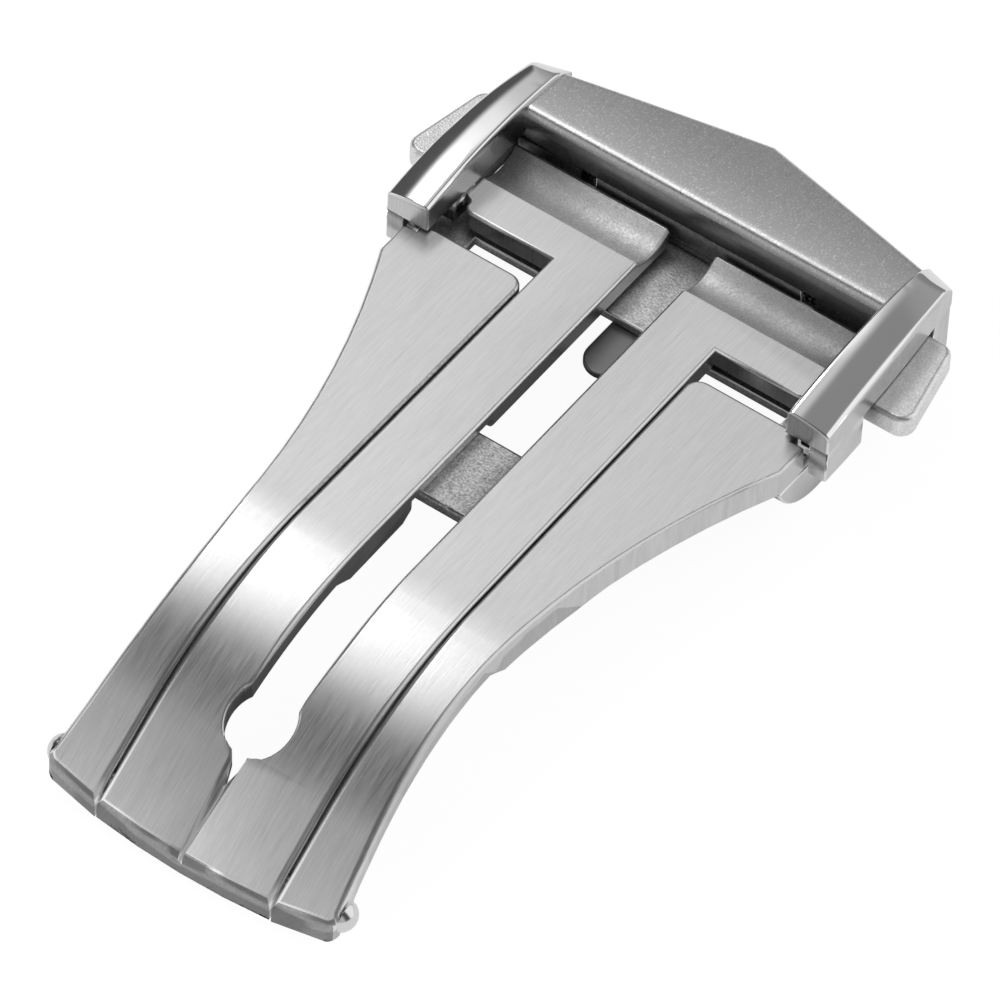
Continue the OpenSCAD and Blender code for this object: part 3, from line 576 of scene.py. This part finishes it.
def rail_tree():
    """A rail: a crowned bar with soft top edges, arched along its length and drawn in at the back."""
    tree, given, result = new_shape(
        "crowned_rail", length=RAIL_LEN, width=RAIL_W, depth=-FRAME_UNDER, edge=0.16, crown=CROWN_R,
        arch=ARCH_R, crest_y=CREST_Y, crest_z=CREST_Z, draw_in=RAIL_TAPER, corner=CORNER_ROUND,
        back_round=BACK_ROUND_R, back_drop=BACK_DROP, tilt=math.tan(RAIL_TILT),
    )
    size = given.outputs

    def calc(operation, *values):
        return math_node(tree, operation, *values)

    def arc_drop(radius, distance):
        return calc("SUBTRACT", radius, calc("SQRT", calc("MAXIMUM", calc(
            "SUBTRACT", calc("MULTIPLY", radius, radius), calc("MULTIPLY", distance, distance)), 0.0)))

    rings = 96
    line = tree.nodes.new("GeometryNodeMeshLine")
    line.inputs["Count"].default_value = rings
    step = tree.nodes.new("ShaderNodeCombineXYZ")
    link(tree, calc("DIVIDE", size["length"], rings - 1.0), step.inputs["Y"])
    link(tree, step.outputs[0], line.inputs["Offset"])
    path = tree.nodes.new("GeometryNodeMeshToCurve")
    link(tree, line.outputs["Mesh"], path.inputs[0])

    section = tree.nodes.new("GeometryNodeCurvePrimitiveQuadrilateral")
    link(tree, size["width"], section.inputs["Width"])
    link(tree, size["depth"], section.inputs["Height"])
    spot = tree.nodes.new("ShaderNodeSeparateXYZ")
    link(tree, tree.nodes.new("GeometryNodeInputPosition").outputs[0], spot.inputs[0])
    soft = tree.nodes.new("GeometryNodeFilletCurve")
    soft.mode = "POLY"
    soft.inputs["Count"].default_value = 5
    link(tree, section.outputs[0], soft.inputs["Curve"])
    is_top = calc("LESS_THAN", spot.outputs["Y"], 0.0)
    link(tree, calc("ADD", calc("MULTIPLY", is_top, size["edge"]), 0.02), soft.inputs["Radius"])
    fine = tree.nodes.new("GeometryNodeSubdivideCurve")
    fine.inputs["Cuts"].default_value = 9
    link(tree, soft.outputs[0], fine.inputs["Curve"])

    def reshaped(shape):
        place = tree.nodes.new("GeometryNodeSetPosition")
        link(tree, shape, place.inputs["Geometry"])
        x, y, z = spot.outputs["X"], spot.outputs["Y"], spot.outputs["Z"]
        share = calc("DIVIDE", calc("ADD", z, calc("MULTIPLY", size["depth"], 0.5)), size["depth"])
        rise = calc("SUBTRACT", size["crest_z"], arc_drop(size["arch"], calc("SUBTRACT", y, size["crest_y"])))
        rise = calc("SUBTRACT", rise, arc_drop(size["crown"], x))
        rise = calc("SUBTRACT", rise, calc("MULTIPLY", x, size["tilt"]))
        outwards = calc("ADD", x, calc("MULTIPLY", size["width"], 0.5))
        back_start = calc("SUBTRACT", size["length"], calc("MULTIPLY", size["back_round"], 0.75))
        behind = calc("ADD", calc("MULTIPLY", outwards, math.sin(BACK_TURN)),
                      calc("MULTIPLY", calc("SUBTRACT", y, back_start), math.cos(BACK_TURN)))
        level = calc("SUBTRACT", size["crest_z"], size["back_drop"])
        level = calc("SUBTRACT", level, arc_drop(size["back_round"], calc("MAXIMUM", behind, 0.0)))
        level = calc("SUBTRACT", level, calc("MULTIPLY", calc("MINIMUM", behind, 0.0), 0.5))
        rise = calc("SMOOTH_MIN", rise, level, 0.1)
        height = calc("ADD", calc("MULTIPLY", share, calc("ADD", rise, size["depth"])), calc(
            "MULTIPLY", size["depth"], -1.0))
        along = calc("DIVIDE", y, size["length"])
        drawn_in = calc("MULTIPLY", size["draw_in"], calc("MULTIPLY", along, along))
        slim = calc("SUBTRACT", size["width"], drawn_in)
        corner_start = calc("SUBTRACT", size["length"], size["corner"])
        into_corner = calc("MAXIMUM", calc("SUBTRACT", y, corner_start), 0.0)
        slim = calc("SUBTRACT", slim, arc_drop(size["corner"], into_corner))
        across = calc("MULTIPLY", calc("ADD", calc("DIVIDE", x, size["width"]), 0.5), slim)
        spread = tree.nodes.new("ShaderNodeCombineXYZ")
        link(tree, across, spread.inputs["X"])
        link(tree, y, spread.inputs["Y"])
        link(tree, height, spread.inputs["Z"])
        link(tree, spread.outputs[0], place.inputs["Position"])
        return place.outputs[0]

    return swept(tree, given, result, path.outputs[0], fine.outputs[0], reshaped)


def winding_tree():
    """A wire wound along X, with its last turns closed up at both ends."""
    tree, given, result = new_shape(
        "wound_spring", turns=9.0, coil_radius=0.33, length=2.6, wire_radius=WIRE_R,
    )
    points = tree.nodes.new("GeometryNodeMeshLine")
    point_count = 240
    points.inputs["Count"].default_value = point_count
    index = tree.nodes.new("GeometryNodeInputIndex").outputs[0]
    share = math_node(tree, "DIVIDE", index, point_count - 1.0)
    turned = math_node(tree, "MULTIPLY", share, given.outputs["turns"])
    angle = math_node(tree, "MULTIPLY", turned, 2 * math.pi)
    eased = remap(tree, share, 0.0, 1.0, 0.0, 1.0, smooth=True)
    pitch = blended(tree, eased, share, 0.55)
    place = tree.nodes.new("ShaderNodeCombineXYZ")
    radius = given.outputs["coil_radius"]
    link(tree, math_node(tree, "MULTIPLY", pitch, given.outputs["length"]), place.inputs["X"])
    link(tree, math_node(tree, "MULTIPLY", math_node(tree, "COSINE", angle), radius), place.inputs["Y"])
    link(tree, math_node(tree, "MULTIPLY", math_node(tree, "SINE", angle), radius), place.inputs["Z"])
    wound = tree.nodes.new("GeometryNodeSetPosition")
    link(tree, points.outputs["Mesh"], wound.inputs["Geometry"])
    link(tree, place.outputs[0], wound.inputs["Position"])
    path = tree.nodes.new("GeometryNodeMeshToCurve")
    link(tree, wound.outputs[0], path.inputs[0])
    ring = tree.nodes.new("GeometryNodeCurvePrimitiveCircle")
    ring.inputs["Resolution"].default_value = 10
    link(tree, given.outputs["wire_radius"], ring.inputs["Radius"])
    return swept(tree, given, result, path.outputs[0], ring.outputs["Curve"])


def grown(name, tree, finish, **sizes):
    """Plain mesh object made by a shape tree, still in millimetres."""
    piece = bpy.data.objects.new(name, bpy.data.meshes.new(name))
    scene.collection.objects.link(piece)
    grow = piece.modifiers.new("grow", "NODES")
    grow.node_group = tree
    for item in tree.interface.items_tree:
        if item.in_out == "INPUT":
            value = finish if item.name == "finish" else sizes.get(item.name, item.default_value)
            grow[item.identifier] = value
    return applied(piece)


WINDING = winding_tree()
RAIL = rail_tree()

for side, sign in (("left", -1), ("right", 1)):
    spring = grown(side + "_spring_wound", WINDING, FINISH["wire"], length=SPRING_LENGTH - 2 * WIRE_R)
    start = Vector((sign * (SPRING_START + WIRE_R), LATCH_Y, LATCH_Z))
    spring.data.transform(FROM_MAKER @ Matrix.Translation(start) @ Matrix.Scale(sign, 4, (1, 0, 0)))
    if sign < 0:
        spring.data.flip_normals()
    for face in spring.data.polygons:
        face.use_smooth = True
    seat(spring, "inner_blade", "spring_wire", side + "_spring")
    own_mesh(spring)


# Buckle frame: swept rails, crowned head bar, and the legs and lugs under them

def rail_rule(place, direction):
    return "rail" if direction.z > 0.45 else "flank"


def swept_rail(side, sign):
    """Rail of one side: the swept bar in its place, with its two ends softened."""
    bar = grown(side + "_bar", RAIL, FINISH["rail"])
    work = bmesh.new()
    work.from_mesh(bar.data)
    bpy.data.objects.remove(bar)
    bmesh.ops.remove_doubles(work, verts=work.verts, dist=0.0005)
    work.transform(FROM_MAKER @ Matrix.Scale(sign, 4, (1, 0, 0)) @ Matrix.Translation((RAIL_IN, 0, 0)))
    work.normal_update()
    bmesh.ops.recalc_face_normals(work, faces=work.faces)
    work.normal_update()
    ends = sharp_edges(work, lambda first, second, edge: max(first.z, second.z) > FRAME_UNDER + 0.03, 50)
    kinds = ["rail", "flank", "edge"]
    return shown(work, side + "_rail", kinds, rail_rule, widths(work, ends, FRAME_ROUNDING))


def head_rule(place, direction):
    if direction.z > 0.35:
        return "head"
    # The head bar's front face gets the darker satin, painted shade
    return "shade" if place.y < HEAD_FRONT + 0.3 else "flank"


def crowned_head():
    """Head bar: an arched top over a five-sided plan whose peak points away from the blades."""
    half_w = RAIL_IN + 0.3
    columns, rows = 24, 12
    front_margin, back_margin = 0.65, 0.4
    work = bmesh.new()
    top, base = [], []
    for i in range(-columns, columns + 1):
        x = half_w * i / columns
        back = HEAD_PEAK - abs(x) * HEAD_RISE / (RAIL_IN + HEAD_OVERLAP)
        first = HEAD_FRONT + front_margin
        depth = back - back_margin - first
        inner = [first + depth * j / (rows - 2) for j in range(rows - 1)]
        for row, height in ((top, None), (base, FRAME_UNDER)):
            line = []
            for y in (HEAD_FRONT, *inner, back):
                arch = HEAD_CREST_Z - HEAD_ARCH_R + math.sqrt(HEAD_ARCH_R ** 2 - (y - CREST_Y) ** 2)
                line.append(work.verts.new((x, y, arch if height is None else height)))
            row.append(line)
    for i in range(2 * columns):
        for j in range(rows):
            work.faces.new((top[i][j], top[i + 1][j], top[i + 1][j + 1], top[i][j + 1]))
            work.faces.new((base[i][j], base[i][j + 1], base[i + 1][j + 1], base[i + 1][j]))
        for j in (0, rows):
            work.faces.new((top[i][j], top[i + 1][j], base[i + 1][j], base[i][j]))
    for i in (0, 2 * columns):
        for j in range(rows):
            work.faces.new((top[i][j], top[i][j + 1], base[i][j + 1], base[i][j]))
    work.normal_update()
    bmesh.ops.recalc_face_normals(work, faces=work.faces)
    work.transform(FROM_MAKER)
    work.normal_update()
    rims = sharp_edges(work, lambda first, second, edge: (
        min(first.z, second.z) > FRAME_UNDER + 0.1 and abs(first.x - second.x) > 0.1
    ))
    front = [edge for edge in rims if maker(edge.verts[0].co).y < HEAD_FRONT + 0.2]
    back = [edge for edge in rims if maker(edge.verts[0].co).y > HEAD_FRONT + 0.2]
    roundings = widths(work, front, HEAD_FRONT_ROUNDING) | widths(work, back, HEAD_BACK_ROUNDING)
    return shown(work, "head_bar", ["head", "shade", "flank"], head_rule, roundings, 6)


def frame_rule(place, direction):
    # The frame's inner walls get the near-black painted shade
    return "flank" if abs(place.x) > RAIL_IN + 0.35 else "inner"


def legs_and_lugs():
    """What the CAD frame has under its rails and its head bar."""
    work = merged("buckle_frame")
    level = FRAME_UNDER - 0.001
    up = STANDING.to_3x3() @ Vector((0, 0, 1))
    cut = bmesh.ops.bisect_plane(
        work, geom=work.verts[:] + work.edges[:] + work.faces[:], dist=0.0000001,
        plane_co=STANDING @ Vector((0, 0, level * MM)), plane_no=up, clear_outer=True,
    )
    rim = [item for item in cut["geom_cut"] if isinstance(item, bmesh.types.BMEdge) and item.is_boundary]
    bmesh.ops.holes_fill(work, edges=rim, sides=0)
    edges = sharp_edges(work, lambda first, second, edge: min(first.z, second.z) < level - 0.01)
    kinds = ["flank", "inner", "edge"]
    return shown(work, "legs_and_lugs", kinds, frame_rule, widths(work, edges, FRAME_ROUNDING))


for piece in (swept_rail("left", -1), swept_rail("right", 1), crowned_head(), legs_and_lugs()):
    seat(piece, "inner_blade", "frame_polished", "buckle_frame")


# Finishes of the CAD nodes that stay

PLAIN_NODES = {
    "fold_pin": "pin", "tongue_rivets": "pin", "left_foot_pin": "pin", "right_foot_pin": "pin",
    "left_locating_pin": "tongue", "right_locating_pin": "tongue", "spring_rods": "inner",
    "latch_cover": "inner", "cover_screws": "pin", "left_latch": "inner", "right_latch": "inner",
    "left_button_pin": "pin", "right_button_pin": "pin",
}
for node, kind in PLAIN_NODES.items():
    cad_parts[node].data.materials.clear()
    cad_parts[node].data.materials.append(FINISH[kind])


# Studio

# What the clasp covers of the floor, where the floor's painted shadow lies, in metres: half its length, half
# its width at the blades and at the head bar, and between which two places along it the one grows to the
# other
HALF_LENGTH = 0.0205
BLADES_HALF_W = 0.0055
HEAD_HALF_W = 0.0105
WIDENS = (-0.006, 0.009)
# How bright the floor looks to the metal under the clasp, dimmed there as a painted shadow, and beside it
PAINTED_SHADOW_GLOW = 0.07
GLOW_BESIDE = 0.8


def floor_glow_with_painted_shadow(tree, place):
    """White beside the clasp and dim under it as a painted shadow, for what the metal mirrors."""
    parts = tree.nodes.new("ShaderNodeSeparateXYZ")
    link(tree, place, parts.inputs[0])
    half_width = remap(tree, parts.outputs["Y"], *WIDENS, BLADES_HALF_W, HEAD_HALF_W)
    side = math_node(tree, "DIVIDE", math_node(tree, "ABSOLUTE", parts.outputs["X"]), half_width)
    end = math_node(tree, "DIVIDE", math_node(tree, "ABSOLUTE", parts.outputs["Y"]), HALF_LENGTH)
    outside = math_node(tree, "MAXIMUM", side, end)
    return remap(tree, outside, 0.85, 1.1, PAINTED_SHADOW_GLOW, GLOW_BESIDE, smooth=True)


def pale_floor():
    """Floor that looks almost white, keeps the clasp's shadow and shows in the metal with a painted shadow
    under the clasp.
    """
    reach = 1.2
    corners = [(-reach, -reach, 0), (reach, -reach, 0), (reach, reach, 0), (-reach, reach, 0)]
    mesh = bpy.data.meshes.new("floor")
    mesh.from_pydata(corners, [], [(0, 1, 2, 3)])
    floor = bpy.data.objects.new("floor", mesh)
    scene.collection.objects.link(floor)
    material = bpy.data.materials.new("pale_floor")
    material.use_nodes = True
    tree = material.node_tree
    tree.nodes.clear()
    output = tree.nodes.new("ShaderNodeOutputMaterial")
    matt = tree.nodes.new("ShaderNodeBsdfDiffuse")
    matt.inputs["Color"].default_value = (0.15, 0.15, 0.15, 1.0)
    glow = tree.nodes.new("ShaderNodeEmission")
    path = tree.nodes.new("ShaderNodeLightPath")
    place = tree.nodes.new("ShaderNodeTexCoord").outputs["Object"]
    glossy = math_node(tree, "MAXIMUM", path.outputs["Is Glossy Ray"], path.outputs["Is Transmission Ray"])
    # Glossy rays see the floor dimmed under the clasp: painted shadow
    mirrored = math_node(tree, "MULTIPLY", glossy, floor_glow_with_painted_shadow(tree, place))
    seen = math_node(tree, "MULTIPLY", path.outputs["Is Camera Ray"], 0.94)
    link(tree, math_node(tree, "MAXIMUM", seen, mirrored), glow.inputs["Strength"])
    both = tree.nodes.new("ShaderNodeAddShader")
    link(tree, matt.outputs[0], both.inputs[0])
    link(tree, glow.outputs[0], both.inputs[1])
    link(tree, both.outputs[0], output.inputs["Surface"])
    mesh.materials.append(material)


# What a panel of light is given by, as parts of a direction
PANEL_LIMITS = ("Low X", "High X", "Low Y", "High Y", "Border")


def softbox_group():
    """How much of a rectangular light is seen in a direction, with a soft border."""
    tree, given, result = new_group(
        "softbox",
        [("Direction", "vector", None)] + [(label, "float", 0.0) for label in PANEL_LIMITS],
        [("Light", "float")],
    )
    parts = tree.nodes.new("ShaderNodeSeparateXYZ")
    link(tree, given.outputs["Direction"], parts.inputs[0])
    light = remap(tree, parts.outputs["Z"], 0.0, 0.1, 0.0, 1.0, smooth=True)
    border = given.outputs["Border"]
    for axis in "XY":
        low, high = given.outputs["Low " + axis], given.outputs["High " + axis]
        rise = remap(tree, parts.outputs[axis], math_node(tree, "SUBTRACT", low, border),
                     math_node(tree, "ADD", low, border), 0.0, 1.0, smooth=True)
        fall = remap(tree, parts.outputs[axis], math_node(tree, "SUBTRACT", high, border),
                     math_node(tree, "ADD", high, border), 1.0, 0.0, smooth=True)
        light = math_node(tree, "MULTIPLY", light, math_node(tree, "MULTIPLY", rise, fall))
    link(tree, light, result.inputs["Light"])
    return tree


# Light of the studio's ceiling from the hinge end's side (-1) to the head bar's side (1)
CEILING = [(-1.0, 0.3), (-0.72, 0.5), (-0.52, 0.62), (-0.42, 0.34), (-0.32, 0.1), (-0.05, 0.06), (0.18, 0.12),
           (0.32, 1.75), (0.44, 1.75), (0.55, 1.24), (0.62, 1.06), (0.72, 0.68), (0.82, 0.42), (0.92, 0.28),
           (1.0, 0.25)]
# Panels over it: low x, high x, low y, high y, border, light that takes the ceiling's place
PANELS = [(-2.0, -0.61, 0.05, 0.95, 0.03, 0.1), (-0.42, -0.22, 0.15, 0.55, 0.08, 0.66),
          (-0.23, 0.26, 0.15, 0.8, 0.07, 0.29), (0.34, 2.0, 0.1, 0.95, 0.05, 1.1),
          (-2.0, -0.55, -0.8, -0.2, 0.06, 1.1), (-0.1, 0.62, -0.64, -0.2, 0.08, 0.1)]


def studio_world():
    """Plain white for the camera; a ceiling with panels for what lights the metal."""
    world = bpy.data.worlds.new("studio")
    scene.world = world
    world.use_nodes = True
    tree = world.node_tree
    tree.nodes.clear()
    output = tree.nodes.new("ShaderNodeOutputWorld")
    direction = tree.nodes.new("ShaderNodeTexCoord").outputs["Generated"]
    parts = tree.nodes.new("ShaderNodeSeparateXYZ")
    link(tree, direction, parts.inputs[0])
    ramp = tree.nodes.new("ShaderNodeValToRGB")
    ramp.color_ramp.interpolation = "EASE"
    link(tree, remap(tree, parts.outputs["Y"], -1.0, 1.0, 0.0, 1.0), ramp.inputs["Fac"])
    ramp.color_ramp.elements.remove(ramp.color_ramp.elements[1])
    for i, (height, value) in enumerate(CEILING):
        position = (height + 1) / 2
        stop = ramp.color_ramp.elements[0] if i == 0 else ramp.color_ramp.elements.new(position)
        stop.position = position
        stop.color = (value, value, value, 1.0)
    light = ramp.outputs["Color"]
    group = softbox_group()
    for *limits, strength in PANELS:
        box = tree.nodes.new("ShaderNodeGroup")
        box.node_tree = group
        link(tree, direction, box.inputs["Direction"])
        for label, value in zip(PANEL_LIMITS, limits):
            box.inputs[label].default_value = value
        light = remap(tree, box.outputs["Light"], 0.0, 1.0, light, strength)
    studio = tree.nodes.new("ShaderNodeBackground")
    link(tree, light, studio.inputs["Strength"])
    backdrop = tree.nodes.new("ShaderNodeBackground")
    mix = tree.nodes.new("ShaderNodeMixShader")
    path = tree.nodes.new("ShaderNodeLightPath")
    link(tree, path.outputs["Is Camera Ray"], mix.inputs[0])
    link(tree, studio.outputs[0], mix.inputs[1])
    link(tree, backdrop.outputs[0], mix.inputs[2])
    for background in (studio, backdrop):
        background.inputs["Color"].default_value = (1.0, 1.0, 1.0, 1.0)
    link(tree, mix.outputs[0], output.inputs["Surface"])


def camera_from_photo():
    """Camera solved from the clasp's straight edges in the photograph: long lens, about 0.41 m away."""
    seen = Matrix((
        (0.81056456, 0.58538859, 0.01747267),
        (0.46277057, -0.62192504, -0.63170614),
        (-0.35892688, 0.52012445, -0.775011),
    )) @ Matrix.Rotation(math.radians(-1.7), 3, "X")
    offset = Vector((4.37031753, -7.65817574, 412.91037677))
    turn = seen @ Matrix.Rotation(-STAND_TILT, 3, "X")
    shift = offset - turn @ Vector((0, STAND_Y, STAND_Z))
    place = -(turn.transposed() @ shift) * MM
    lens = bpy.data.cameras.new("camera")
    lens.lens = 360
    lens.sensor_width = 36
    lens.clip_start = 0.01
    lens.clip_end = 20
    camera = bpy.data.objects.new("camera", lens)
    scene.collection.objects.link(camera)
    basis = Matrix((turn[0], -turn[1], -turn[2])).transposed().to_4x4()
    camera.matrix_world = Matrix.Translation(place) @ basis
    scene.camera = camera


# Strip light, in metres and watts
STRIP_WIDTH = 0.084
STRIP_LENGTH = 0.23
STRIP_WATTS = 0.22
STRIP_PLACE = (-0.2185, 0.121, 0.3925)


def key_lamp():
    """Strip light above the clasp's left side, 0.46 m away, with its length along the clasp."""
    lamp = bpy.data.lights.new("key", "AREA")
    lamp.shape = "RECTANGLE"
    lamp.size = STRIP_WIDTH
    lamp.size_y = STRIP_LENGTH
    lamp.energy = STRIP_WATTS
    holder = bpy.data.objects.new("key", lamp)
    scene.collection.objects.link(holder)
    place = Vector(STRIP_PLACE)
    back = place.normalized()
    across = (Vector((1, 0, 0)) - back * back.x).normalized()
    turn = Matrix((across, back.cross(across), back)).transposed().to_4x4()
    holder.matrix_world = Matrix.Translation(place) @ turn


pale_floor()
studio_world()
camera_from_photo()
key_lamp()
scene.view_settings.view_transform = "Standard"
